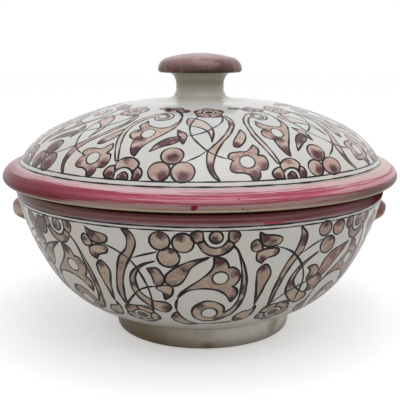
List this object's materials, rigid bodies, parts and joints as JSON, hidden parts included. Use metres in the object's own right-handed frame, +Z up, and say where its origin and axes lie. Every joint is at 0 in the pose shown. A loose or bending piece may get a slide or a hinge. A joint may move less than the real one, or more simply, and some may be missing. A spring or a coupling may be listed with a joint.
{
  "type": "covered serving bowl",
  "caption": "Round glazed earthenware serving bowl on a foot ring with pressed side lugs and a lift-off domed lid with a mushroom knob; traditional painted floral scrolls.",
  "frame": {"origin": "centre of the foot ring on the surface that the bowl stands on", "axes": "+Z up along the axis of the bowl and its lid, +X to the right-hand lug, +Y to the back"},
  "size_m": [0.3, 0.2999, 0.2112],
  "materials": {
    "white_glaze": "glossy warm white tin glaze with painted ochre and blue-black ornament",
    "crimson_glaze": "streaky brushed crimson over white glaze, glossy",
    "mauve_glaze": "mottled brown mauve glaze, glossy",
    "lug_glaze": "crimson wash over white glaze, ochre where it wore thin",
    "bare_clay": "unglazed buff earthenware, matt"
  },
  "bodies": {
    "pot": {"bowl": "white_glaze", "foot_ring": "white_glaze", "left_lug": "lug_glaze", "right_lug": "lug_glaze"},
    "lid": {"lid_dome": "white_glaze", "lid_rim": "crimson_glaze", "lid_flange": "bare_clay", "knob_stem": "white_glaze", "knob_cap": "mauve_glaze"}
  },
  "joints": [
    {"name": "lid_lift", "type": "slide", "parent": "pot", "child": "lid", "axis": [0, 0, 1], "range_m": [0, 0.15]}
  ]
}
